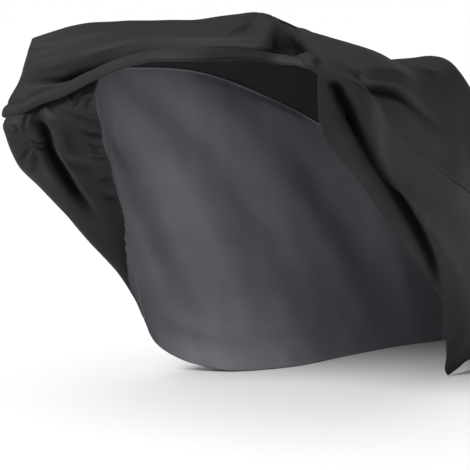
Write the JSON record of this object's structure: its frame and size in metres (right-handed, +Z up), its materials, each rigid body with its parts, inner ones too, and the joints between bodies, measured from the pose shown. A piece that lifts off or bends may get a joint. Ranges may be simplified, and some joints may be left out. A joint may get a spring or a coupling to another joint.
{
  "type": "bicycle cover",
  "caption": "Large fitted bicycle cover of black coated cloth, draped hollow and open at the front, its front edge turned under and one side's rim pulled back.",
  "frame": {"origin": "middle of the cover's footprint, on the floor its hem reaches", "axes": "+X runs from the open front to the tail, +Z is up, and -Y is the near side, whose rim is pulled back"},
  "size_m": [1.5611, 1.0118, 1.0664],
  "materials": {
    "cover_cloth": "black coated plain weave with a satin sheen, grey coating inside"
  },
  "bodies": {
    "root": {"near_side_panel": "cover_cloth", "top_panel": "cover_cloth", "far_side_panel": "cover_cloth", "nose_panel": "cover_cloth"}
  },
  "joints": []
}
